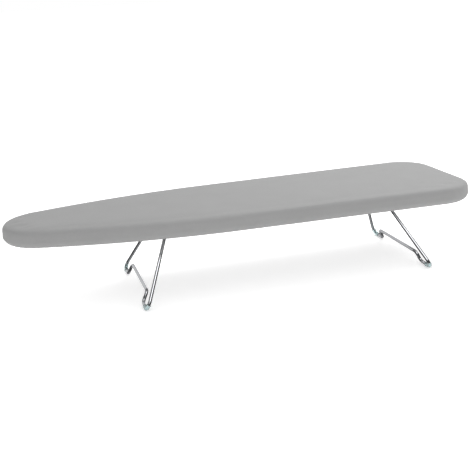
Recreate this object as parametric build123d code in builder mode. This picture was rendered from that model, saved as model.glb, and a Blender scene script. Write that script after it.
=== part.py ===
"""Tabletop ironing board: a padded board on a steel frame, with two folding wire legs.

Millimetres, +Z up. X runs along the board, from the rounded nose at -X to the square end
at +X, and Y runs across it. The origin is on the table, under the middle of the board.
"""

import os
from math import acos, atan, cos, degrees, radians, sin, tan

from build123d import *

# Board outline, seen from above
board_length = 950.0
board_width = 300.0
nose_radius = 85.0
shoulder_from_nose = 446.0
shoulder_half_width = 143.4
corner_radius = 74.0

# Board section
top_height = 170.0
top_edge_radius = 11.0
cover_thickness = 1.2
foam_thickness = 7.4
felt_thickness = 4.0
sheet_thickness = 0.8
layer_gap = 0.1

# Rolled rim tube, with its open seam facing the middle of the board
rim_radius = 10.0
rim_wall = 1.0
rim_seam = 3.0
rim_side_gap = 1.3
rim_under_gap = 0.5
rim_wrap_gap = 1.8

# Perforated sheet
sheet_overlap = 6.0
perforation_radius = 9.5
perforation_pitch = 28.0
perforation_margin = 20.0

# Gathered hem under the board
hem_overlap = 0.3
casing_radius = 2.2
casing_wall = 0.6
elastic_gap = 0.1

# Cross braces: channels, open upwards, between the sides of the rim
brace_drop = 12.7
brace_wall = 1.2
brace_bend = 1.0
brace_end_gap = 0.1
hinge_brace_width = 40.0
clip_brace_width = 24.0

# Wire legs
nose_hinge_x = -167.0
end_hinge_x = 306.5
fold_gap = 2.9
leg_splay = 26.43
wire_radius = 3.3
axle_half_width = 61.7
foot_half_width = 146.4
base_length = 54.2
crossbar_rise = 23.4
axle_bend = 9.0
foot_bend = 11.4
inner_bend = 9.7

# Foot caps
cap_radius = 4.6
cap_gap = 0.05
cap_on_base = 8.0
cap_turn = 80.0
sole_depth = 4.1

# Hinge bridges and their saddles
bridge_wall = 2.0
bridge_width = 34.0
bridge_half_span = 74.0
bridge_flange = 18.0
bridge_bend = 1.0
axle_headroom = 0.5
stop_gap = 0.3
stop_length = 10.0
stop_corner = 2.5
stop_inner = 54.0
stop_outer = 71.0
saddle_centre = 36.0
saddle_width = 14.0
saddle_wall = 1.5
saddle_length = 32.0
saddle_rivet_offset = 11.0
axle_gap = 0.1

# Fold clips, which take the crossbar of a folded leg
clip_length = 20.0
clip_flange_length = 46.0
clip_flange_thickness = 3.0
clip_wall = 4.5
clip_slot_gap = 0.5
clip_mouth = 2.0
clip_below_axle = 6.0
clip_rivet_offset = 16.5

# Rivets
rivet_radius = 1.9
rivet_hole_gap = 0.1
rivet_head_radius = 3.4
rivet_head_height = 1.4
rivet_head_edge = 1.25
bridge_rivet_offset = 9.5

# Levels, from the top of the board down
foam_top = top_height - cover_thickness - layer_gap
foam_bottom = foam_top - foam_thickness
felt_top = foam_bottom - layer_gap
felt_bottom = felt_top - felt_thickness
sheet_top = felt_bottom - layer_gap
sheet_bottom = sheet_top - sheet_thickness
rim_height = sheet_bottom - layer_gap - rim_radius
underside = rim_height - rim_radius - rim_under_gap - cover_thickness
axle_height = underside - cap_radius - fold_gap
brace_top = sheet_bottom - layer_gap
brace_web = brace_top - brace_drop
bridge_top = brace_web - layer_gap
bridge_bottom = axle_height + wire_radius + axle_headroom

# The cover's lower edge wraps the rim
bottom_edge_radius = cover_thickness + rim_radius + rim_wrap_gap

# Insets from the outline
pad_inset = cover_thickness + layer_gap
rim_inset = cover_thickness + rim_side_gap + rim_radius
rim_inner_inset = rim_inset + rim_radius
sheet_inset = rim_inset - sheet_overlap
hem_inset = rim_inner_inset + hem_overlap
casing_inset = hem_inset + layer_gap + casing_radius

# Arcs of the outline: a nose, a long flank tangent to it, a straight taper and a corner
nose_x = -board_length / 2
shoulder = Vector(nose_x + shoulder_from_nose, shoulder_half_width)
taper_run = board_length - corner_radius - shoulder_from_nose
taper_angle = atan((board_width / 2 - shoulder_half_width) / taper_run)
taper_length = taper_run / cos(taper_angle) - corner_radius * tan(taper_angle)
inward = Vector(sin(taper_angle), -cos(taper_angle))
nose_centre = Vector(nose_x + nose_radius, 0)
reach = shoulder - nose_centre
flank_radius = (nose_radius**2 - reach.length**2) / (2 * (inward.dot(reach) + nose_radius))
flank_centre = shoulder + inward * flank_radius
nose_turn = degrees(acos((flank_centre - nose_centre).normalized().X))
flank_turn = 90 - nose_turn - degrees(taper_angle)
corner_turn = 90 + degrees(taper_angle)

# Leg plane
splay = radians(leg_splay)
leg_length = (axle_height - sole_depth) / cos(splay)
folded_reach = leg_length - crossbar_rise
leg_slope = atan((foot_half_width - axle_half_width) / leg_length)

os.makedirs("parts", exist_ok=True)


def write(node, label):
    """Label a finished piece and write it as its own STEP file."""
    node.part.label = label
    export_step(node.part, f"parts/{label}.step")


def half_outline(inset):
    """One side of the board's outline, moved inwards, from the nose to the end's middle."""
    nose = JernArc((nose_x + inset, 0), (0, 1), nose_radius - inset, -nose_turn)
    flank = JernArc(nose @ 1, nose % 1, flank_radius - inset, -flank_turn)
    taper = Line(flank @ 1, flank @ 1 + (flank % 1) * taper_length)
    corner = JernArc(taper @ 1, taper % 1, corner_radius - inset, -corner_turn)
    Line(corner @ 1, (board_length / 2 - inset, 0))


def outline_face(inset, height):
    """The whole outline as a filled face at a height."""
    with BuildSketch(Plane.XY.offset(height)) as sketch:
        with BuildLine():
            half_outline(inset)
            mirror(about=Plane.XZ)
        make_face()
    return sketch.sketch


def slab(inset, low, high, low_radius=0.0, high_radius=0.0):
    """A slab of the board's outline between two heights, with its edges rounded if asked."""
    face = outline_face(inset, low)
    with BuildPart() as body:
        extrude(face, high - low)
        if high_radius:
            fillet(body.faces().sort_by(Axis.Z)[-1].edges(), high_radius)
        if low_radius:
            fillet(body.faces().sort_by(Axis.Z)[0].edges(), low_radius)
    return body


def ring(inset, height, radius, bore, seam=0.0):
    """A tube that follows the outline, with an open seam along its inner side if asked."""
    with BuildLine(Plane.XY.offset(height)) as path:
        half_outline(inset)
    with BuildPart() as tube:
        with BuildSketch(Plane(path.line @ 0, x_dir=(1, 0, 0), z_dir=(0, 1, 0))):
            Circle(radius)
            if bore:
                Circle(bore, mode=Mode.SUBTRACT)
            if seam:
                with Locations((radius, 0)):
                    Rectangle(radius, seam, mode=Mode.SUBTRACT)
        sweep(path=path.line)
        mirror(about=Plane.XZ)
    return tube


def leg_plane(x, side):
    """The plane of an open leg: origin on its hinge, its +Y towards the foot, +Z outwards."""
    return Plane((x, 0, axle_height), x_dir=(0, -side, 0), z_dir=(side * cos(splay), 0, sin(splay)))


def rivets(points, low, high):
    """Rivets through sheets that lie between two heights, with a rounded head at each end."""
    with BuildPart() as group:
        with Locations(*[(x, y, low) for x, y in points]):
            Cylinder(rivet_radius, high - low, align=(Align.CENTER, Align.CENTER, Align.MIN))
            Cylinder(rivet_head_radius, rivet_head_height, align=(Align.CENTER, Align.CENTER, Align.MAX))
        with Locations(*[(x, y, high) for x, y in points]):
            Cylinder(rivet_head_radius, rivet_head_height, align=(Align.CENTER, Align.CENTER, Align.MIN))
        round_edges = group.edges().filter_by(GeomType.CIRCLE).group_by(Axis.Z)
        fillet(round_edges[0] + round_edges[-1], rivet_head_edge)
    return group


# --- Frame -------------------------------------------------------------------------------

rim_frame = ring(rim_inset, rim_height, rim_radius, rim_radius - rim_wall, rim_seam)
write(rim_frame, "rim_frame")

# Holes in staggered rows, as many as fit inside the sheet's plain margin
hole_area = outline_face(sheet_inset + perforation_margin + perforation_radius, sheet_bottom)
columns = int(board_length / (perforation_pitch * sin(radians(60))))
rows = int(board_width / perforation_pitch)
hole_centres = [
    location.position
    for location in HexLocations(perforation_pitch / 2, columns, rows)
    if hole_area.face().is_inside(location.position + (0, 0, sheet_bottom))
]
sheet_blank = outline_face(sheet_inset, sheet_bottom)
with BuildPart() as top_sheet:
    with BuildSketch(Plane.XY.offset(sheet_bottom)):
        add(sheet_blank)
        with Locations(*hole_centres):
            Circle(perforation_radius, mode=Mode.SUBTRACT)
    extrude(amount=sheet_thickness)
write(top_sheet, "top_sheet")


def brace(x, width, rivet_points):
    """A channel across the board, cut to fit between the sides of the rim."""
    between_rims = slab(rim_inner_inset + brace_end_gap, brace_web, brace_top)
    with BuildPart() as channel:
        with BuildSketch(Plane((x, 0, brace_top), x_dir=(1, 0, 0), z_dir=(0, -1, 0))):
            Rectangle(width, brace_drop, align=(Align.CENTER, Align.MAX))
            Rectangle(
                width - 2 * brace_wall,
                brace_drop - brace_wall,
                align=(Align.CENTER, Align.MAX),
                mode=Mode.SUBTRACT,
            )
        extrude(amount=board_width / 2, both=True)
        add(between_rims.part, mode=Mode.INTERSECT)
        lower_edges = channel.edges().filter_by(Axis.Y).group_by(Axis.Z)[0]
        fillet(lower_edges, brace_bend)
        with Locations(*[(px, py, brace_web + brace_wall) for px, py in rivet_points]):
            Hole(rivet_radius + rivet_hole_gap, depth=brace_wall)
    return channel


def corner_points(x, dx, dy):
    """Four points around a centre on the X axis."""
    return [(x + i * dx, j * dy) for i in (-1, 1) for j in (-1, 1)]


# --- Hinges and legs ---------------------------------------------------------------------

bridge_rivet_y = bridge_half_span + bridge_flange / 2

for end, hinge_x, side in (("nose", nose_hinge_x, -1), ("end", end_hinge_x, 1)):
    plane = leg_plane(hinge_x, side)
    fold_x = hinge_x - side * folded_reach
    bridge_rivets = corner_points(hinge_x, bridge_rivet_offset, bridge_rivet_y)
    saddle_rivets = corner_points(hinge_x, saddle_rivet_offset, saddle_centre)
    clip_rivets = [(fold_x, j * clip_rivet_offset) for j in (-1, 1)]

    hinge_brace = brace(hinge_x, hinge_brace_width, bridge_rivets)
    write(hinge_brace, f"{end}_hinge_brace")

    clip_brace = brace(fold_x, clip_brace_width, clip_rivets)
    write(clip_brace, f"{end}_clip_brace")

    # Pressed bridge: a hat section under the brace, with two stop tabs bent down from it
    with BuildPart() as bridge:
        with BuildSketch(Plane((hinge_x, 0, 0), x_dir=(0, 1, 0), z_dir=(1, 0, 0))):
            with BuildLine() as hat:
                inner = bridge_half_span - bridge_wall
                outer = bridge_half_span + bridge_flange
                FilletPolyline(
                    (0, bridge_bottom),
                    (bridge_half_span, bridge_bottom),
                    (bridge_half_span, bridge_top - bridge_wall),
                    (outer, bridge_top - bridge_wall),
                    (outer, bridge_top),
                    (inner, bridge_top),
                    (inner, bridge_bottom + bridge_wall),
                    (0, bridge_bottom + bridge_wall),
                    radius=[bridge_bend, bridge_bend, 0, 0, bridge_bend, bridge_bend],
                )
                Line((0, bridge_bottom + bridge_wall), (0, bridge_bottom))
            make_face()
            mirror(about=Plane.YZ)
        extrude(amount=bridge_width / 2, both=True)
        fillet(bridge.edges().filter_by(Axis.Z).group_by(Axis.Y)[-1], rivet_head_radius)
        fillet(bridge.edges().filter_by(Axis.Z).group_by(Axis.Y)[0], rivet_head_radius)
        tab_width = stop_outer - stop_inner
        tab_low = wire_radius + stop_gap
        tab_rise = (bridge_bottom - axle_height + bridge_wall) / cos(splay)
        tab_start = (tab_low + bridge_wall) * tan(splay) - tab_rise
        with BuildSketch(plane.offset(tab_low)) as tabs:
            with Locations(*[(j * (stop_inner + tab_width / 2), tab_start) for j in (-1, 1)]):
                Rectangle(tab_width, stop_length - tab_start, align=(Align.CENTER, Align.MIN))
            fillet(tabs.vertices().group_by(Axis.Y)[-1], stop_corner)
        extrude(amount=bridge_wall)
        with Locations(*[(px, py, bridge_top) for px, py in bridge_rivets]):
            Hole(rivet_radius + rivet_hole_gap, depth=bridge_wall)
        with Locations(*[(px, py, bridge_bottom + bridge_wall) for px, py in saddle_rivets]):
            Hole(rivet_radius + rivet_hole_gap, depth=bridge_wall)
    write(bridge, f"{end}_hinge_bridge")

    # Saddle straps hold the axle up against the bridge
    saddle_top = bridge_bottom - layer_gap
    for name, y in (("near", -saddle_centre), ("far", saddle_centre)):
        with BuildPart() as saddle:
            with BuildSketch(Plane((hinge_x, y, 0), x_dir=(1, 0, 0), z_dir=(0, -1, 0))):
                bore = wire_radius + axle_gap
                with Locations((0, saddle_top)):
                    Rectangle(saddle_length, saddle_wall, align=(Align.CENTER, Align.MAX))
                    Rectangle(
                        2 * (bore + saddle_wall),
                        saddle_top - axle_height,
                        align=(Align.CENTER, Align.MAX),
                    )
                with Locations((0, axle_height)):
                    Circle(bore + saddle_wall)
                    Circle(bore, mode=Mode.SUBTRACT)
                    Rectangle(
                        2 * bore,
                        2 * (bore + saddle_wall),
                        align=(Align.CENTER, Align.MIN),
                        mode=Mode.SUBTRACT,
                    )
                with Locations((0, saddle_top)):
                    Rectangle(
                        saddle_length,
                        bore + saddle_wall,
                        align=(Align.CENTER, Align.MIN),
                        mode=Mode.SUBTRACT,
                    )
            extrude(amount=saddle_width / 2, both=True)
            corners = saddle.edges().filter_by(Axis.Z).group_by(Axis.X)
            fillet(corners[0] + corners[-1], rivet_head_radius)
            with Locations(*[(px, y, saddle_top) for px, py in saddle_rivets if py * y > 0]):
                Hole(rivet_radius + rivet_hole_gap, depth=saddle_wall)
        write(saddle, f"{end}_saddle_{name}")

    bridge_rivet_group = rivets(bridge_rivets, bridge_top - bridge_wall, brace_web + brace_wall)
    write(bridge_rivet_group, f"{end}_bridge_rivets")

    saddle_rivet_group = rivets(saddle_rivets, saddle_top - saddle_wall, bridge_bottom + bridge_wall)
    write(saddle_rivet_group, f"{end}_saddle_rivets")

    # One bent wire: its top is the hinge axle, and each side steps in to a raised crossbar
    inner_half_width = foot_half_width - base_length
    with BuildPart() as leg:
        with BuildLine(plane) as wire:
            FilletPolyline(
                (0, 0),
                (axle_half_width, 0),
                (foot_half_width, leg_length),
                (inner_half_width, leg_length),
                (inner_half_width, leg_length - crossbar_rise),
                (0, leg_length - crossbar_rise),
                radius=[axle_bend, foot_bend, inner_bend, inner_bend],
            )
        with BuildSketch(Plane(wire.line @ 0, x_dir=plane.z_dir, z_dir=wire.line % 0)):
            Circle(wire_radius)
        sweep(path=wire.line)
        mirror(about=Plane.XZ)
    write(leg, f"{end}_leg_wire")

    # Soft caps over the outer bends, flat where they stand on the table
    foot_tangent = foot_bend / tan((radians(90) - leg_slope) / 2)
    for name, turn in (("near", side), ("far", -side)):
        with BuildPart() as cap:
            with BuildLine(plane) as bend:
                bend_start = turn * (foot_half_width - foot_tangent)
                Line((bend_start - turn * cap_on_base, leg_length), (bend_start, leg_length))
                JernArc((bend_start, leg_length), (turn, 0), foot_bend, -turn * cap_turn)
            with BuildSketch(Plane(bend.line @ 0, x_dir=plane.z_dir, z_dir=bend.line % 0)):
                Circle(cap_radius)
                Circle(wire_radius + cap_gap, mode=Mode.SUBTRACT)
            sweep(path=bend.line)
            split(bisect_by=Plane.XY, keep=Keep.TOP)
        write(cap, f"{end}_foot_cap_{name}")

    # --- Fold clip: a moulded block with a slot for the crossbar ---
    with BuildPart() as clip:
        slot_half = wire_radius + clip_slot_gap
        clip_width = 2 * (slot_half + clip_wall)
        with BuildSketch(Plane.XY.offset(bridge_top)):
            with Locations((fold_x, 0)):
                RectangleRounded(clip_width, clip_flange_length, rivet_head_radius)
        extrude(amount=-clip_flange_thickness)
        with BuildSketch(Plane((fold_x, 0, 0), x_dir=(1, 0, 0), z_dir=(0, -1, 0))):
            with Locations((0, bridge_top)):
                Rectangle(
                    clip_width,
                    bridge_top - axle_height + clip_below_axle,
                    align=(Align.CENTER, Align.MAX),
                )
            with BuildLine():
                slot_top = axle_height + wire_radius + clip_slot_gap
                mouth = axle_height - clip_below_axle
                Polyline(
                    (-slot_half, slot_top),
                    (slot_half, slot_top),
                    (slot_half, mouth + clip_mouth),
                    (slot_half + clip_mouth, mouth),
                    (-slot_half - clip_mouth, mouth),
                    (-slot_half, mouth + clip_mouth),
                    close=True,
                )
            make_face(mode=Mode.SUBTRACT)
        extrude(amount=clip_length / 2, both=True)
        with Locations(*[(px, py, bridge_top) for px, py in clip_rivets]):
            Hole(rivet_radius + rivet_hole_gap, depth=clip_flange_thickness)
    write(clip, f"{end}_fold_clip")

    clip_flange_bottom = bridge_top - clip_flange_thickness
    clip_rivet_group = rivets(clip_rivets, clip_flange_bottom, brace_web + brace_wall)
    write(clip_rivet_group, f"{end}_clip_rivets")

# --- Padding and cover ---------------------------------------------------------------------

# Both pads follow the inside of the cover's rounded top edge
pad_edge_radius = top_edge_radius - pad_inset
pad_form = slab(pad_inset, felt_bottom, foam_top, high_radius=pad_edge_radius)

with BuildPart() as foam_pad:
    add(pad_form.part)
    split(bisect_by=Plane.XY.offset(foam_bottom), keep=Keep.TOP)
write(foam_pad, "foam_pad")

with BuildPart() as felt_pad:
    add(pad_form.part)
    split(bisect_by=Plane.XY.offset(felt_top), keep=Keep.BOTTOM)
write(felt_pad, "felt_pad")

cover_form = slab(0, underside, top_height, bottom_edge_radius, top_edge_radius)
cover_space = slab(
    cover_thickness,
    underside + cover_thickness,
    top_height - cover_thickness,
    bottom_edge_radius - cover_thickness,
    top_edge_radius - cover_thickness,
)
cover_opening = slab(hem_inset, underside, underside + 2 * cover_thickness)
with BuildPart() as cover:
    add(cover_form.part)
    add(cover_space.part, mode=Mode.SUBTRACT)
    add(cover_opening.part, mode=Mode.SUBTRACT)
write(cover, "cover")

# The hem is a tube of binding tape with an elastic cord inside it
hem_height = underside + casing_radius
casing_bore = casing_radius - casing_wall
hem_casing = ring(casing_inset, hem_height, casing_radius, casing_bore)
write(hem_casing, "hem_casing")
hem_elastic = ring(casing_inset, hem_height, casing_bore - elastic_gap, 0)
write(hem_elastic, "hem_elastic")
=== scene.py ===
"""Tabletop ironing board: cloth cover, padding, steel frame and bent-wire legs, in metres."""

from math import ceil, cos, pi, radians, sin, tau

import bpy
import numpy as np
from mathutils import Matrix, Vector
from mathutils.geometry import convex_hull_2d
from mathutils.kdtree import KDTree


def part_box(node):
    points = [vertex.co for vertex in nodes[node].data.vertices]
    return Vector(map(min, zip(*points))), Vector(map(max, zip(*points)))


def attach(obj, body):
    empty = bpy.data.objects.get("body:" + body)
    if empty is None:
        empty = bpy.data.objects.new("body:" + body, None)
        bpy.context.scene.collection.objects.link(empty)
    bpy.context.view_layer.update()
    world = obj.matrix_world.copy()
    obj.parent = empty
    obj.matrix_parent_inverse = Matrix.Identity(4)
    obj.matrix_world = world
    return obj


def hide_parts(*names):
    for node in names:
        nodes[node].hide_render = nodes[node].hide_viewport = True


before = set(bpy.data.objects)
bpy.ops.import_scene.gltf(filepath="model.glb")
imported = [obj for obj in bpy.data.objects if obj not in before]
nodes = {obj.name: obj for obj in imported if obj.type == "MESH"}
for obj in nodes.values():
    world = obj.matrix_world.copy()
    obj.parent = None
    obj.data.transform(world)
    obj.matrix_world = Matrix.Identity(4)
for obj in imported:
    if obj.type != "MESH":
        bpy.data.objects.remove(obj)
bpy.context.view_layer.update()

ENDS = ("nose", "end")

# Levels and widths, read from the CAD nodes
cover_low, cover_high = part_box("cover")
sheet_low, sheet_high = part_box("top_sheet")
UNDERSIDE = cover_low.z
BOARD_TOP = cover_high.z
BOARD_MIDDLE = (UNDERSIDE + BOARD_TOP) / 2

# The board's section: how far in from the outline the rest lies
HEM_INSET = cover_high.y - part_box("hem_casing")[1].y
RIM_INNER_INSET = 0.0225
OUTLINE_STEP = 0.0016

# The cover: its cloth, how far it stands off its padding, and how it gathers at the hem
CLOTH_THICKNESS = 0.001
COVER_MESH = 0.0057
SWELL_LIMIT = 0.0028
HELD_RIM = 0.006
LOWER_FULLNESS = 0.0012
FOLD_DEPTH = 0.0021

# The hem: a tape tube with an elastic cord in it, and the seam that holds it
TUBE_CENTRE = (HEM_INSET + 0.0023, 0.0022)
TUBE_RADIUS = 0.0021
TAPE_THICKNESS = 0.0004
TAPE_RUFFLE = 0.13
RUFFLE_PITCH = 0.0065
ELASTIC_RADIUS = 0.0013
SEAM_INSET = HEM_INSET - 0.0042
SEAM_BELOW = 0.00072
STITCH_RADIUS = 0.0003
STITCH_STRETCH = 5.4
STITCH_EVERY = 3

# The padding, the mesh sheet and the welds
FOAM_MESH = 0.0032
FOAM_SHRINK = 0.0004
FELT_MESH = 0.014
FELT_TUCK = 0.0022
DIAMOND = (0.016, 0.008)
DIAMOND_COUNT = 98
MESH_MARGIN = 0.008
STRAND_WIDTH = 0.0016
WELD_RADIUS = 0.0019
WELD_RIPPLE = 0.0011


# --- Modelling helpers ---------------------------------------------------------------------


def pick(piece):
    """Select one piece and nothing else."""
    bpy.ops.object.select_all(action="DESELECT")
    piece.select_set(True)
    bpy.context.view_layer.objects.active = piece


def edit(piece, *steps):
    """Run edit-mode steps on everything in a piece."""
    pick(piece)
    bpy.ops.object.mode_set(mode="EDIT")
    bpy.ops.mesh.select_all(action="SELECT")
    for step in steps:
        step()
    bpy.ops.object.mode_set(mode="OBJECT")


def modify(piece, kind, **settings):
    """Add a modifier with its settings and apply it."""
    pick(piece)
    bpy.ops.object.modifier_add(type=kind)
    modifier = piece.modifiers[-1]
    for key, value in settings.items():
        setattr(modifier, key, value)
    bpy.ops.object.modifier_apply(modifier=modifier.name)


def copy_of(node, name):
    """A free copy of a CAD node's mesh, with its loose triangles merged."""
    piece = bpy.data.objects.new(name, nodes[node].data.copy())
    bpy.context.scene.collection.objects.link(piece)
    piece.data.materials.clear()
    pick(piece)
    bpy.ops.mesh.customdata_custom_splitnormals_clear()
    edit(piece, lambda: bpy.ops.mesh.remove_doubles(threshold=1e-5))
    return piece


def coordinates(piece):
    """The vertex positions of a mesh, one row each."""
    rows = np.empty(len(piece.data.vertices) * 3)
    piece.data.vertices.foreach_get("co", rows)
    return rows.reshape(-1, 3)


def directions(piece):
    """The vertex normals of a mesh, one row each."""
    rows = np.empty(len(piece.data.vertices) * 3)
    piece.data.vertex_normals.foreach_get("vector", rows)
    return rows.reshape(-1, 3)


def place_vertices(piece, rows):
    """Put a mesh's vertices at new positions."""
    piece.data.vertices.foreach_set("co", rows.ravel())
    piece.data.update()


def ease(values):
    """A smooth step from 0 to 1."""
    values = np.clip(values, 0, 1)
    return values * values * (3 - 2 * values)


def join_copies(prototype, name, places):
    """Copies of one small piece at many places, joined into one piece."""
    copies = []
    for place in places:
        copy = bpy.data.objects.new(name, prototype.data.copy())
        bpy.context.scene.collection.objects.link(copy)
        copy.data.transform(place)
        copies.append(copy)
    bpy.data.objects.remove(prototype)
    pick(copies[0])
    for copy in copies:
        copy.select_set(True)
    bpy.ops.object.join()
    joined = bpy.context.object
    joined.name = name
    return joined


def finish_piece(piece, material, slot, *replaced, smooth=40):
    """Give a finished piece its material and shading, and fix it to the board; its slot is not
    used.
    """
    piece.data.materials.clear()
    piece.data.materials.append(material)
    pick(piece)
    bpy.ops.object.shade_smooth_by_angle(angle=radians(smooth))
    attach(piece, "board")
    if replaced:
        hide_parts(*replaced)


# --- The board's outline -------------------------------------------------------------------


def smooth_loop(values, passes):
    """Even out values that go round a closed loop."""
    for _ in range(passes):
        values = (np.roll(values, 1, axis=0) + 2 * values + np.roll(values, -1, axis=0)) / 4
    return values


def trace_outline():
    """The cover's outline from above, in even steps, anticlockwise, and its outward normals."""
    flat = [vertex.co.to_2d() for vertex in nodes["cover"].data.vertices]
    hull = np.array([flat[i] for i in convex_hull_2d(flat)])
    closed = np.vstack([hull, hull[:1]])
    along = np.append(0, np.cumsum(np.linalg.norm(np.diff(closed, axis=0), axis=1)))
    count = ceil(along[-1] / OUTLINE_STEP)
    steps = np.linspace(0, along[-1], count, endpoint=False)
    points = np.column_stack([np.interp(steps, along, closed[:, axis]) for axis in (0, 1)])
    points = smooth_loop(points, 12)
    tangents = np.roll(points, -1, axis=0) - np.roll(points, 1, axis=0)
    tangents /= np.linalg.norm(tangents, axis=1)[:, None]
    return points, np.column_stack([tangents[:, 1], -tangents[:, 0]])


outline, outward = trace_outline()
perimeter = np.linalg.norm(outline - np.roll(outline, 1, axis=0), axis=1).sum()
outline_tree = KDTree(len(outline))
for index, (x, y) in enumerate(outline):
    outline_tree.insert((x, y, 0), index)
outline_tree.balance()


def inset_path(inset):
    """The outline moved inwards."""
    return outline - outward * inset


def outline_places(rows):
    """For each point, the nearest step of the outline and how far in from it the point is."""
    steps = np.array([outline_tree.find((x, y, 0))[1] for x, y in rows[:, :2]])
    inset = -np.sum((rows[:, :2] - outline[steps]) * outward[steps], axis=1)
    return steps, inset


def gather_folds():
    """How far the gathered edge stands out at each step: deep, close folds where it turns."""
    heading = np.unwrap(np.arctan2(outward[:, 1], outward[:, 0]))
    turning = np.gradient(heading) / (perimeter / len(outline))
    turning[0], turning[-1] = turning[1], turning[-2]
    gather = np.clip(smooth_loop(turning, 300) * 0.09, 0.22, 1)
    gather = smooth_loop(gather, 200)
    wavelength = 0.021 - 0.0085 * gather
    phase = np.cumsum(perimeter / len(outline) / wavelength)
    folds = 6 * round(phase[-1] / 6)
    phase *= tau * folds / phase[-1]
    ridge = 0.5 + 0.5 * np.cos(phase + 0.9 * np.sin(phase / 3) + 0.5 * np.sin(phase / 2))
    return gather * ridge**1.5 * (0.78 + 0.22 * np.sin(phase / 2 + 1))


folds = gather_folds()


def fold_drop(steps, inset):
    """How far the cloth under the board hangs below its plain level, from its folds."""
    return FOLD_DEPTH * folds[steps] * ease((inset - 0.003) / (HEM_INSET - 0.003))


# --- Shader groups -------------------------------------------------------------------------


def node(tree, kind, inputs=None, **settings):
    """Add a shader node, set its attributes, and set or link its inputs."""
    made = tree.nodes.new("ShaderNode" + kind)
    for key, value in settings.items():
        setattr(made, key, value)
    for key, value in (inputs or {}).items():
        if isinstance(value, bpy.types.NodeSocket):
            tree.links.new(value, made.inputs[key])
        else:
            made.inputs[key].default_value = value
    return made


def new_group(name, inputs, outputs):
    """A shader group with float inputs {name: default} beside its Vector, and float outputs."""
    group = bpy.data.node_groups.new(name, "ShaderNodeTree")
    group.interface.new_socket("Vector", in_out="INPUT", socket_type="NodeSocketVector")
    for label, default in inputs.items():
        socket = group.interface.new_socket(label, in_out="INPUT", socket_type="NodeSocketFloat")
        socket.default_value = default
    for label in outputs:
        group.interface.new_socket(label, in_out="OUTPUT", socket_type="NodeSocketFloat")
    entry = group.nodes.new("NodeGroupInput")
    out = group.nodes.new("NodeGroupOutput")
    return group, entry.outputs, out.inputs


def make_speckle():
    """Soft irregular speckle from 0 to 1, with Contrast about its middle."""
    group, given, out = new_group("speckle", {"Scale": 100.0, "Contrast": 1.0}, ["Value"])
    grain = {"Vector": given["Vector"], "Scale": given["Scale"], "Detail": 4.0}
    noise = node(group, "TexNoise", grain)
    centred = node(group, "Math", {0: noise.outputs["Fac"], 1: 0.5}, operation="SUBTRACT")
    spread = node(
        group,
        "Math",
        {0: centred.outputs[0], 1: given["Contrast"], 2: 0.5},
        operation="MULTIPLY_ADD",
        use_clamp=True,
    )
    group.links.new(spread.outputs[0], out["Value"])
    return group


def make_weave():
    """Plain-weave threads in the plane that each part of the cloth faces."""
    group, given, out = new_group("plain_weave", {"Pitch": 0.0008}, ["Height"])
    turns = node(group, "Math", {0: pi, 1: given["Pitch"]}, operation="DIVIDE")
    scaled = node(
        group, "VectorMath", {0: given["Vector"], "Scale": turns.outputs[0]}, operation="SCALE"
    )
    waves = node(group, "VectorMath", {0: scaled.outputs[0]}, operation="SINE")
    wave = node(group, "SeparateXYZ", {0: waves.outputs[0]}).outputs
    first = node(group, "CombineXYZ", {"X": wave["Y"], "Y": wave["X"], "Z": wave["X"]})
    second = node(group, "CombineXYZ", {"X": wave["Z"], "Y": wave["Z"], "Z": wave["Y"]})
    threads = node(
        group, "VectorMath", {0: first.outputs[0], 1: second.outputs[0]}, operation="MULTIPLY"
    )
    normal = node(group, "NewGeometry").outputs["Normal"]
    facing = node(group, "VectorMath", {0: normal, 1: normal}, operation="MULTIPLY")
    blend = node(
        group, "VectorMath", {0: threads.outputs[0], 1: facing.outputs[0]}, operation="DOT_PRODUCT"
    )
    height = node(
        group, "Math", {0: blend.outputs["Value"], 1: 0.5, 2: 0.5}, operation="MULTIPLY_ADD"
    )
    group.links.new(height.outputs[0], out["Height"])
    return group


def make_rub_marks():
    """Thin scattered scratches, running mostly along one axis of the given vector."""
    group, given, out = new_group("rub_marks", {"Scale": 60.0, "Amount": 0.3}, ["Mask"])
    stretched = node(
        group, "VectorMath", {0: given["Vector"], 1: (14.0, 14.0, 1.0)}, operation="MULTIPLY"
    )
    noise = node(
        group, "TexNoise", {"Vector": stretched.outputs[0], "Scale": given["Scale"], "Detail": 2.0}
    )
    line = node(group, "Math", {0: noise.outputs["Fac"], 1: 0.5}, operation="SUBTRACT")
    width = node(group, "Math", {0: line.outputs[0]}, operation="ABSOLUTE")
    fade = {"From Min": 0.0, "From Max": 0.02, "To Min": 1.0, "To Max": 0.0}
    mask = node(group, "MapRange", {"Value": width.outputs[0], **fade})
    scaled = node(
        group, "Math", {0: mask.outputs["Result"], 1: given["Amount"]}, operation="MULTIPLY"
    )
    group.links.new(scaled.outputs[0], out["Mask"])
    return group


SPECKLE = make_speckle()
WEAVE = make_weave()
RUB_MARKS = make_rub_marks()


# --- Materials -----------------------------------------------------------------------------


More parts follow.
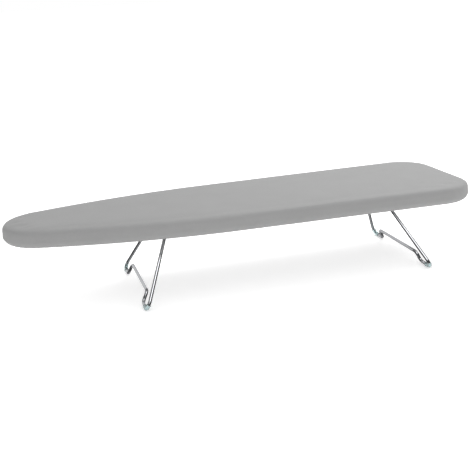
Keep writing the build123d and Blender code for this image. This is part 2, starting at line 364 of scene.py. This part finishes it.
class Finish:
    """A material under construction: its Principled BSDF and its patterns."""

    def __init__(self, name, **shader_values):
        self.material = bpy.data.materials.new(name)
        self.material.use_nodes = True
        self.tree = self.material.node_tree
        self.shader = self.tree.nodes["Principled BSDF"]
        self.place = node(self.tree, "TexCoord").outputs["Object"]
        for label, value in shader_values.items():
            self.shader.inputs[label.replace("_", " ")].default_value = value

    def pattern(self, group, **values):
        """One of the shader groups, placed with its own values."""
        made = self.tree.nodes.new("ShaderNodeGroup")
        made.node_tree = group
        self.tree.links.new(self.place, made.inputs["Vector"])
        for label, value in values.items():
            made.inputs[label.capitalize()].default_value = value
        return made.outputs[0]

    def span(self, value, low, high):
        """A 0 to 1 value mapped on to a range."""
        spread = {"Value": value, "To Min": low, "To Max": high}
        return node(self.tree, "MapRange", spread).outputs["Result"]

    def add(self, first, second, share):
        """The first value plus a share of the second."""
        terms = {0: second, 1: share, 2: first}
        return node(self.tree, "Math", terms, operation="MULTIPLY_ADD").outputs[0]

    def tint(self, factor, dark, light):
        """A colour between two."""
        ends = {"Factor": factor, 6: (*dark, 1), 7: (*light, 1)}
        return node(self.tree, "Mix", ends, data_type="RGBA").outputs[2]

    def colour(self, socket):
        """Send a colour to the base colour."""
        self.tree.links.new(socket, self.shader.inputs["Base Color"])

    def roughness(self, value, low, high):
        """Send a 0 to 1 value to the roughness, over a range."""
        self.tree.links.new(self.span(value, low, high), self.shader.inputs["Roughness"])

    def bump(self, height, depth):
        """Relief of a real depth in metres."""
        made = node(self.tree, "Bump", {"Height": height, "Distance": depth, "Strength": 1.0})
        self.tree.links.new(made.outputs["Normal"], self.shader.inputs["Normal"])


def grey(level, warm=0.0):
    """A grey colour, made a little warmer if asked."""
    return (level * (1 + warm), level, level * (1 - warm))


def metallised_cotton():
    """Smooth woven cotton with a matt metallic coat."""
    cloth = Finish(
        "metallised_cotton",
        Metallic=0.1,
        Specular_IOR_Level=0.3,
        Sheen_Weight=0.1,
        Sheen_Roughness=0.5,
    )
    weave = cloth.pattern(WEAVE, pitch=0.0007)
    patches = cloth.pattern(SPECKLE, scale=22.0, contrast=1.6)
    slubs = cloth.pattern(SPECKLE, scale=260.0, contrast=2.2)
    tone = cloth.add(cloth.add(cloth.span(patches, 0.0, 0.35), slubs, 0.35), weave, 0.3)
    cloth.colour(cloth.tint(tone, grey(0.281), grey(0.326)))
    cloth.roughness(slubs, 0.62, 0.76)
    cloth.bump(cloth.add(cloth.span(weave, 0.0, 0.5), slubs, 0.5), 0.00012)
    return cloth.material


def twill_tape(name, level, pitch):
    """Woven cotton tape, braid or thread."""
    tape = Finish(name, Roughness=0.85, Sheen_Weight=0.2)
    weave = tape.pattern(WEAVE, pitch=pitch)
    fibres = tape.pattern(SPECKLE, scale=900.0, contrast=1.5)
    tone = tape.add(tape.span(weave, 0.0, 0.6), fibres, 0.4)
    tape.colour(tape.tint(tone, grey(level * 0.8), grey(level)))
    tape.roughness(fibres, 0.78, 0.92)
    tape.bump(weave, 0.00025)
    return tape.material


def foam_rubber():
    """Open-cell foam."""
    foam = Finish("open_cell_foam", Subsurface_Weight=0.1, Subsurface_Scale=0.004)
    pores = node(foam.tree, "TexVoronoi", {"Vector": foam.place, "Scale": 900.0})
    patches = foam.pattern(SPECKLE, scale=40.0, contrast=1.2)
    foam.colour(foam.tint(patches, (0.60, 0.55, 0.42), (0.72, 0.67, 0.53)))
    foam.roughness(patches, 0.85, 0.95)
    foam.bump(pores.outputs["Distance"], 0.0005)
    return foam.material


def needle_felt():
    """Needled felt of mixed recycled fibres."""
    felt = Finish("needle_felt", Sheen_Weight=0.4, Sheen_Roughness=0.6)
    fibres = felt.pattern(RUB_MARKS, scale=45.0, amount=1.0)
    flecks = felt.pattern(SPECKLE, scale=420.0, contrast=3.0)
    felt.colour(felt.tint(felt.add(flecks, fibres, 0.3), (0.20, 0.20, 0.21), (0.42, 0.41, 0.40)))
    felt.roughness(flecks, 0.9, 1.0)
    felt.bump(felt.add(flecks, fibres, 0.6), 0.0007)
    return felt.material


def powder_coat(name, level):
    """Silver-grey powder coat with its fine orange peel, rubbed a little."""
    coat = Finish(name, Metallic=0.3, Coat_Weight=0.15, Coat_Roughness=0.25)
    peel = coat.pattern(SPECKLE, scale=700.0, contrast=1.4)
    patches = coat.pattern(SPECKLE, scale=35.0, contrast=1.5)
    rubs = coat.pattern(RUB_MARKS, scale=24.0, amount=0.4)
    coat.colour(coat.tint(coat.add(patches, rubs, 0.6), grey(level * 0.88), grey(level)))
    coat.roughness(coat.add(peel, rubs, -0.5), 0.34, 0.52)
    coat.bump(peel, 0.00006)
    return coat.material


def zinc_plate(name, level, polish):
    """Zinc-plated pressed steel, with its soft spangle."""
    zinc = Finish(name, Metallic=1.0)
    spangle = node(
        zinc.tree, "TexVoronoi", {"Vector": zinc.place, "Scale": 260.0, "Randomness": 1.0}
    ).outputs["Distance"]
    grain = zinc.pattern(SPECKLE, scale=1200.0, contrast=1.3)
    rubs = zinc.pattern(RUB_MARKS, scale=40.0, amount=0.7)
    tone = zinc.add(zinc.add(zinc.span(spangle, 0.1, 0.7), grain, 0.3), rubs, 0.3)
    zinc.colour(zinc.tint(tone, grey(level * 0.8, 0.01), grey(level, 0.02)))
    zinc.roughness(zinc.add(grain, rubs, 0.6), polish, polish + 0.18)
    zinc.bump(grain, 0.00003)
    return zinc.material


def bright_chrome():
    """Chromed wire, with fine drawing lines and light rubbing."""
    chrome = Finish("bright_chrome", Metallic=1.0)
    haze = chrome.pattern(SPECKLE, scale=180.0, contrast=1.5)
    lines = chrome.pattern(RUB_MARKS, scale=90.0, amount=0.5)
    chrome.colour(chrome.tint(haze, (0.70, 0.71, 0.735), (0.80, 0.81, 0.835)))
    chrome.roughness(chrome.add(chrome.span(haze, 0.0, 0.5), lines, 0.25), 0.09, 0.2)
    chrome.bump(lines, 0.000003)
    return chrome.material


def clear_vinyl():
    """Soft clear vinyl, a little green-blue where it is thick."""
    vinyl = Finish(
        "clear_vinyl", Transmission_Weight=0.95, IOR=1.18, Specular_IOR_Level=0.6, Coat_Weight=0.2
    )
    cloud = vinyl.pattern(SPECKLE, scale=140.0, contrast=1.4)
    scuffs = vinyl.pattern(RUB_MARKS, scale=50.0, amount=0.6)
    vinyl.colour(vinyl.tint(cloud, (0.70, 0.80, 0.80), (0.82, 0.90, 0.895)))
    vinyl.roughness(vinyl.add(vinyl.span(cloud, 0.0, 0.6), scuffs, 0.4), 0.12, 0.3)
    vinyl.bump(cloud, 0.00008)
    return vinyl.material


def moulded_plastic():
    """Dark moulded plastic with a spark-eroded texture."""
    plastic = Finish("moulded_plastic", Specular_IOR_Level=0.45)
    grain = plastic.pattern(SPECKLE, scale=1500.0, contrast=2.0)
    scuffs = plastic.pattern(RUB_MARKS, scale=60.0, amount=0.5)
    plastic.colour(plastic.tint(plastic.add(grain, scuffs, 0.7), grey(0.028), grey(0.055)))
    plastic.roughness(grain, 0.42, 0.6)
    plastic.bump(grain, 0.00006)
    return plastic.material


CLOTH = metallised_cotton()
TAPE = twill_tape("binding_tape", 0.46, 0.0009)
CORD = twill_tape("braided_elastic", 0.72, 0.0006)
THREAD = twill_tape("sewing_thread", 0.55, 0.0003)
FOAM = foam_rubber()
FELT = needle_felt()
FRAME_COAT = powder_coat("frame_powder_coat", 0.42)
MESH_COAT = powder_coat("mesh_powder_coat", 0.36)
ZINC = zinc_plate("zinc_plate", 0.62, 0.28)
RIVET = zinc_plate("bright_rivet", 0.7, 0.18)
CHROME = bright_chrome()
VINYL = clear_vinyl()
PLASTIC = moulded_plastic()


def paint(material, *names):
    """Give CAD nodes a material in place of their plain one."""
    for name in names:
        nodes[name].data.materials.clear()
        nodes[name].data.materials.append(material)


paint(FRAME_COAT, "rim_frame")
for end in ENDS:
    paint(FRAME_COAT, f"{end}_hinge_brace", f"{end}_clip_brace")
    paint(ZINC, f"{end}_hinge_bridge", f"{end}_saddle_near", f"{end}_saddle_far")
    paint(RIVET, f"{end}_bridge_rivets", f"{end}_saddle_rivets", f"{end}_clip_rivets")
    paint(PLASTIC, f"{end}_fold_clip")
    paint(CHROME, f"{end}_leg_wire")
    paint(VINYL, f"{end}_foot_cap_near", f"{end}_foot_cap_far")


# --- Cover ---------------------------------------------------------------------------------


def swell(piece, pressure, limit, held_below):
    """Press a closed form of cloth out over its padding, held still below a level."""
    start = coordinates(piece)
    facing = directions(piece)
    held = piece.vertex_groups.new(name="held")
    held.add([int(i) for i in np.flatnonzero(start[:, 2] < held_below)], 1.0, "REPLACE")
    pick(piece)
    bpy.ops.object.modifier_add(type="CLOTH")
    cloth = piece.modifiers[-1]
    cloth.settings.vertex_group_mass = held.name
    cloth.settings.use_pressure = True
    cloth.settings.uniform_pressure_force = pressure
    cloth.settings.effector_weights.gravity = 0
    for step in range(1, 21):
        bpy.context.scene.frame_set(step)
    bpy.ops.object.modifier_apply(modifier=cloth.name)
    bpy.context.scene.frame_set(1)
    piece.vertex_groups.clear()
    moved = coordinates(piece) - start
    inwards = np.minimum(np.sum(moved * facing, axis=1), 0)
    moved -= facing * inwards[:, None]
    reach = np.linalg.norm(moved, axis=1)
    share = np.minimum(1, limit / np.maximum(reach, 1e-9))
    place_vertices(piece, start + moved * share[:, None])


def select_vertices(piece, chosen):
    """Select vertices in object mode, with nothing else selected."""
    for part in (piece.data.polygons, piece.data.edges):
        part.foreach_set("select", np.zeros(len(part), dtype=bool))
    piece.data.vertices.foreach_set("select", chosen)


def open_underside(cover):
    """Cut the opening under the board, and run the cloth on to an even hem."""
    rows = coordinates(cover)
    _, inset = outline_places(rows)
    inside = (inset > HEM_INSET - 0.002) & (rows[:, 2] < BOARD_MIDDLE)
    select_vertices(cover, inside)
    pick(cover)
    bpy.ops.object.mode_set(mode="EDIT")
    bpy.ops.mesh.select_mode(type="VERT")
    bpy.ops.mesh.delete(type="VERT")
    bpy.ops.mesh.select_all(action="DESELECT")
    bpy.ops.mesh.select_non_manifold()
    bpy.ops.mesh.extrude_edges_move()
    bpy.ops.object.mode_set(mode="OBJECT")
    rows = coordinates(cover)
    hem = np.empty(len(rows), dtype=bool)
    cover.data.vertices.foreach_get("select", hem)
    steps, _ = outline_places(rows)
    rows[hem, :2] = inset_path(HEM_INSET)[steps[hem]]
    rows[hem, 2] = UNDERSIDE
    place_vertices(cover, rows)


def make_cover():
    """The fitted cloth cover, full over its padding, gathered in under the board."""
    cover = copy_of("cover", "cover_cloth")
    edit(cover, bpy.ops.mesh.convex_hull)
    modify(cover, "REMESH", mode="VOXEL", voxel_size=COVER_MESH)
    modify(cover, "SMOOTH", factor=0.5, iterations=3)
    swell(cover, pressure=4, limit=SWELL_LIMIT, held_below=UNDERSIDE + HELD_RIM)
    open_underside(cover)
    modify(cover, "SUBSURF", levels=1, render_levels=1)
    rows = coordinates(cover)
    steps, inset = outline_places(rows)
    under = rows[:, 2] < BOARD_MIDDLE
    drop = np.where(under, fold_drop(steps, inset), 0)
    low_band = ease((BOARD_MIDDLE - rows[:, 2]) / 0.008) * ease((0.020 - inset) / 0.007)
    drop += LOWER_FULLNESS * low_band
    place_vertices(cover, rows + directions(cover) * drop[:, None])
    modify(cover, "SOLIDIFY", thickness=CLOTH_THICKNESS, offset=-1)
    finish_piece(cover, CLOTH, "cover_cloth", "cover", smooth=60)
    return cover


# --- Hem -----------------------------------------------------------------------------------


def sweep_section(name, section, closed):
    """A section of (inset, height above the underside) points, swept round the board."""
    rail_data = bpy.data.curves.new(name, "CURVE")
    rail_data.dimensions = "3D"
    rail_data.twist_mode = "Z_UP"
    spline = rail_data.splines.new("POLY")
    spline.points.add(len(outline) - 1)
    for point, (x, y) in zip(spline.points, inset_path(HEM_INSET)):
        point.co = (x, y, UNDERSIDE, 1)
    spline.use_cyclic_u = True
    section_data = bpy.data.curves.new(name + "_section", "CURVE")
    section_data.dimensions = "2D"
    shape = section_data.splines.new("POLY")
    shape.points.add(len(section) - 1)
    for point, (inset, height) in zip(shape.points, section):
        point.co = (HEM_INSET - inset, height, 0, 1)
    shape.use_cyclic_u = closed
    rail = bpy.data.objects.new(name, rail_data)
    profile = bpy.data.objects.new(name + "_section", section_data)
    for made in (rail, profile):
        bpy.context.scene.collection.objects.link(made)
    rail_data.bevel_mode = "OBJECT"
    rail_data.bevel_object = profile
    pick(rail)
    bpy.ops.object.convert(target="MESH")
    swept = bpy.context.object
    bpy.data.objects.remove(profile)
    return swept


def make_hem_tape():
    """Binding tape folded round the edge of the cloth and the elastic, gathered by it."""
    tube = [
        (TUBE_CENTRE[0] + TUBE_RADIUS * cos(a), TUBE_CENTRE[1] + TUBE_RADIUS * sin(a))
        for a in np.radians(np.linspace(-125, 125, 11))
    ]
    lower = [(HEM_INSET - 0.0055, -0.0004), (HEM_INSET - 0.0025, -0.0004), (HEM_INSET, -0.0003)]
    upper = [
        (HEM_INSET, CLOTH_THICKNESS + 0.0006),
        (HEM_INSET - 0.002, CLOTH_THICKNESS + 0.0004),
        (HEM_INSET - 0.0045, CLOTH_THICKNESS + 0.0004),
    ]
    tape = sweep_section("hem_tape", lower + tube + upper, closed=False)
    rows = coordinates(tape)
    steps, inset = outline_places(rows)
    on_tube = ease((inset - HEM_INSET) / 0.002)
    ruffle_count = round(perimeter / RUFFLE_PITCH)
    wave = np.sin(tau * ruffle_count * steps / len(outline) + 2.5 * np.sin(folds[steps] * 3))
    across = inset - TUBE_CENTRE[0]
    up = rows[:, 2] - UNDERSIDE - TUBE_CENTRE[1]
    swelling = TAPE_RUFFLE * wave * on_tube
    rows[:, :2] -= outward[steps] * (across * swelling)[:, None]
    rows[:, 2] += up * swelling - fold_drop(steps, np.minimum(inset, HEM_INSET))
    place_vertices(tape, rows)
    modify(tape, "SOLIDIFY", thickness=TAPE_THICKNESS, offset=0)
    finish_piece(tape, TAPE, "hem_tape", "hem_casing", smooth=60)
    return tape


def make_hem_elastic():
    """The elastic cord inside the tape."""
    section = [
        (TUBE_CENTRE[0] + ELASTIC_RADIUS * cos(a), TUBE_CENTRE[1] + ELASTIC_RADIUS * sin(a))
        for a in np.linspace(0, tau, 9)[:-1]
    ]
    elastic = sweep_section("hem_elastic_cord", section, closed=True)
    rows = coordinates(elastic)
    steps, _ = outline_places(rows)
    rows[:, 2] -= fold_drop(steps, np.full(len(rows), HEM_INSET))
    place_vertices(elastic, rows)
    finish_piece(elastic, CORD, "elastic", "hem_elastic", smooth=60)
    return elastic


def make_hem_stitches():
    """Lockstitches through the tape, one piece."""
    bpy.ops.object.select_all(action="DESELECT")
    bpy.ops.mesh.primitive_uv_sphere_add(segments=6, ring_count=5, radius=STITCH_RADIUS)
    stitch = bpy.context.object
    centre = {"center_override": (0, 0, 0)}
    edit(
        stitch,
        lambda: bpy.ops.transform.resize(value=(1, 1, STITCH_STRETCH), **centre),
        lambda: bpy.ops.transform.rotate(value=pi / 2, orient_axis="Y", **centre),
    )
    path = inset_path(SEAM_INSET)
    places = []
    for step in range(0, len(outline) - STITCH_EVERY, STITCH_EVERY):
        out_x, out_y = outward[step]
        drop = fold_drop(np.array([step]), np.array([SEAM_INSET]))[0]
        along = Matrix(((-out_y, out_x, 0), (out_x, out_y, 0), (0, 0, 1))).transposed()
        spot = Vector((path[step][0], path[step][1], UNDERSIDE - SEAM_BELOW - drop))
        places.append(Matrix.Translation(spot) @ along.to_4x4())
    stitches = join_copies(stitch, "hem_stitches", places)
    finish_piece(stitches, THREAD, "hem_tape")
    return stitches


# --- Padding, mesh and welds ---------------------------------------------------------------


def make_foam():
    """The foam layer, with a lightly dimpled skin."""
    foam = copy_of("foam_pad", "foam_layer")
    modify(foam, "REMESH", mode="VOXEL", voxel_size=FOAM_MESH)
    modify(foam, "SMOOTH", factor=0.5, iterations=2)
    edit(foam, lambda: bpy.ops.transform.shrink_fatten(value=-FOAM_SHRINK))
    dimples = bpy.data.textures.new("foam_dimples", "CLOUDS")
    dimples.noise_scale = 0.02
    modify(foam, "DISPLACE", texture=dimples, strength=0.0005, mid_level=1.0)
    finish_piece(foam, FOAM, "foam", "foam_pad", smooth=60)


def make_felt():
    """The felt underlay, cut into a fine grid and made slightly lumpy."""
    felt = copy_of("felt_pad", "felt_layer")
    low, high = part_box("felt_pad")
    pick(felt)
    bpy.ops.object.mode_set(mode="EDIT")
    for axis, normal in ((0, (1, 0, 0)), (1, (0, 1, 0))):
        count = round((high[axis] - low[axis]) / FELT_MESH)
        for cut in range(1, count):
            spot = [0, 0, 0]
            spot[axis] = low[axis] + (high[axis] - low[axis]) * cut / count
            bpy.ops.mesh.select_all(action="SELECT")
            bpy.ops.mesh.bisect(plane_co=spot, plane_no=normal)
    bpy.ops.object.mode_set(mode="OBJECT")
    lumps = bpy.data.textures.new("felt_lumps", "CLOUDS")
    lumps.noise_scale = 0.03
    modify(felt, "DISPLACE", texture=lumps, strength=0.0006, mid_level=1.0)
    rows = coordinates(felt)
    steps, inset = outline_places(rows)
    tucked = np.clip(FELT_TUCK - inset, 0, None)
    rows[:, :2] -= outward[steps] * tucked[:, None]
    place_vertices(felt, rows)
    finish_piece(felt, FELT, "felt", "felt_pad", smooth=60)
    inset = cover_high.y - high.y


def make_steam_mesh():
    """Expanded-metal mesh: diamonds cut and drawn from one sheet."""
    bpy.ops.object.select_all(action="DESELECT")
    bpy.ops.mesh.primitive_grid_add(
        x_subdivisions=DIAMOND_COUNT, y_subdivisions=DIAMOND_COUNT, size=DIAMOND_COUNT
    )
    mesh = bpy.context.object
    mesh.name = "steam_mesh"
    level = (sheet_low.z + sheet_high.z) / 2
    centre = {"center_override": (0, 0, 0)}
    cell = (DIAMOND[0] / 2**0.5, DIAMOND[1] / 2**0.5, 1)
    edit(
        mesh,
        lambda: bpy.ops.transform.rotate(value=pi / 4, orient_axis="Z", **centre),
        lambda: bpy.ops.transform.resize(value=cell, **centre),
        lambda: bpy.ops.transform.translate(value=(0, 0, level)),
    )
    _, inset = outline_places(coordinates(mesh))
    select_vertices(mesh, inset < MESH_MARGIN)
    pick(mesh)
    bpy.ops.object.mode_set(mode="EDIT")
    bpy.ops.mesh.select_mode(type="VERT")
    bpy.ops.mesh.delete(type="VERT")
    bpy.ops.object.mode_set(mode="OBJECT")
    modify(mesh, "WIREFRAME", thickness=STRAND_WIDTH, use_even_offset=False, use_boundary=True)
    rows = coordinates(mesh)
    rows[:, 2] = level + (rows[:, 2] - level) * (sheet_high.z - sheet_low.z) / STRAND_WIDTH
    place_vertices(mesh, rows)
    finish_piece(mesh, MESH_COAT, "sheet_paint", "top_sheet", smooth=30)


def make_welds():
    """A short weld bead at each corner where a brace meets the rim."""
    bpy.ops.object.select_all(action="DESELECT")
    bpy.ops.mesh.primitive_uv_sphere_add(segments=16, ring_count=14, radius=WELD_RADIUS)
    bead = bpy.context.object
    edit(bead, lambda: bpy.ops.transform.resize(value=(1, 1.1, 2.1), center_override=(0, 0, 0)))
    ripple = coordinates(bead)
    ripple[:, :2] *= (1 + 0.12 * np.sin(ripple[:, 2] / WELD_RIPPLE * tau))[:, None]
    place_vertices(bead, ripple)
    inner = inset_path(RIM_INNER_INSET)
    places = []
    for end in ENDS:
        for brace in (f"{end}_hinge_brace", f"{end}_clip_brace"):
            low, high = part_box(brace)
            height = (low.z + high.z) / 2 - 0.001
            for x in (low.x, high.x):
                for side in (-1, 1):
                    edge = inner[inner[:, 1] * side > 0.05]
                    y = edge[np.argmin(abs(edge[:, 0] - x)), 1]
                    places.append(Matrix.Translation((x, y - side * 0.0006, height)))
    welds = join_copies(bead, "brace_welds", places)
    finish_piece(welds, FRAME_COAT, "frame_paint")


cover = make_cover()
hem = [make_hem_tape(), make_hem_elastic(), make_hem_stitches()]
make_foam()
make_felt()
make_steam_mesh()
make_welds()


# --- Floor, light and camera ---------------------------------------------------------------


def make_floor():
    """A wide white floor that can be seen through from below."""
    bpy.ops.object.select_all(action="DESELECT")
    bpy.ops.mesh.primitive_circle_add(vertices=96, radius=30, fill_type="NGON")
    floor = bpy.context.object
    floor.name = "studio_floor"
    white = Finish(
        "floor_white",
        Base_Color=(*grey(0.93), 1),
        Roughness=0.9,
        Specular_IOR_Level=0.1,
        Emission_Color=(1, 1, 1, 1),
        Emission_Strength=0.5,
    )
    tree = white.tree
    backface = node(tree, "NewGeometry").outputs["Backfacing"]
    clear = node(tree, "BsdfTransparent").outputs[0]
    one_sided = node(tree, "MixShader", {0: backface, 1: white.shader.outputs[0], 2: clear})
    tree.links.new(one_sided.outputs[0], tree.nodes["Material Output"].inputs["Surface"])
    floor.data.materials.append(white.material)
    floor.visible_glossy = False


# What polished metal reflects: patches of brightness in a dark room, each given as its direction,
# the cosines where it starts and where it is full, and its least and its full brightness
REFLECTED_PATCHES = (
    ((0.10, -0.62, 0.78), 0.87, 0.965, 0.06, 2.0),
    ((-0.48, -0.79, 0.38), 0.93, 0.985, 0.0, 1.2),
    ((-0.02, 0.998, 0.05), 0.79, 0.885, 0.0, 0.64),
    ((0.0, 0.0, 1.0), 0.80, 0.95, 0.0, 0.7),
    ((0.0, 0.0, -1.0), 0.5, 0.9, 0.0, 0.3),
)


def make_world():
    """A white room for the eye and for soft light, with patches of brightness for gloss."""
    world = bpy.data.worlds.new("studio")
    world.use_nodes = True
    bpy.context.scene.world = world
    tree = world.node_tree
    tree.nodes.clear()
    ray = node(tree, "LightPath").outputs
    looking = node(tree, "TexCoord").outputs["Generated"]
    shine = None
    for toward, start, full, dim, bright in REFLECTED_PATCHES:
        facing = node(tree, "VectorMath", {0: looking, 1: toward}, operation="DOT_PRODUCT")
        rise = {"From Min": start, "From Max": full, "To Min": dim, "To Max": bright}
        rise["Value"] = facing.outputs["Value"]
        patch = node(tree, "MapRange", rise, interpolation_type="SMOOTHSTEP").outputs["Result"]
        if shine:
            patch = node(tree, "Math", {0: shine, 1: patch}, operation="MAXIMUM").outputs[0]
        shine = patch
    white = node(tree, "Background", {"Color": (1, 1, 1, 1), "Strength": 1.0}).outputs[0]
    soft = node(tree, "Background", {"Color": (1, 1, 1, 1), "Strength": 0.86}).outputs[0]
    gloss = node(tree, "Background", {"Color": (1, 1, 1, 1), "Strength": shine}).outputs[0]
    unseen = node(tree, "MixShader", {0: ray["Is Glossy Ray"], 1: soft, 2: gloss}).outputs[0]
    seen = node(tree, "MixShader", {0: ray["Is Camera Ray"], 1: unseen, 2: white}).outputs[0]
    node(tree, "OutputWorld", {"Surface": seen})


def add_softbox(name, place, size, power):
    """A square soft light that faces the board."""
    light = bpy.data.lights.new(name, "AREA")
    light.size = size
    light.energy = power
    lamp = bpy.data.objects.new(name, light)
    bpy.context.scene.collection.objects.link(lamp)
    lamp.location = place
    lamp.rotation_euler = Vector(place).to_track_quat("Z", "Y").to_euler()


def make_camera():
    """A long lens at the left of the board, looking a little down and to the right."""
    yaw, pitch, roll = radians(14.505), radians(16.385), radians(-3.49)
    forward = Vector((sin(yaw) * cos(pitch), cos(yaw) * cos(pitch), -sin(pitch)))
    right = Vector((cos(yaw), -sin(yaw), 0))
    up = right.cross(forward)
    tilted_right = right * cos(roll) + up * sin(roll)
    tilted_up = up * cos(roll) - right * sin(roll)
    lens = bpy.data.cameras.new("camera")
    lens.sensor_width = 36
    lens.lens = 66.0
    camera = bpy.data.objects.new("camera", lens)
    bpy.context.scene.collection.objects.link(camera)
    turn = Matrix((tilted_right, tilted_up, -forward)).transposed().to_4x4()
    place = Vector((-0.44245, -1.66887, BOARD_MIDDLE + 0.44125))
    camera.matrix_world = Matrix.Translation(place) @ turn
    bpy.context.scene.camera = camera


make_floor()
make_world()
add_softbox("overhead_softbox", (1.1, 0.6, 2.0), 1.4, 30)
make_camera()
bpy.context.scene.view_settings.view_transform = "Standard"
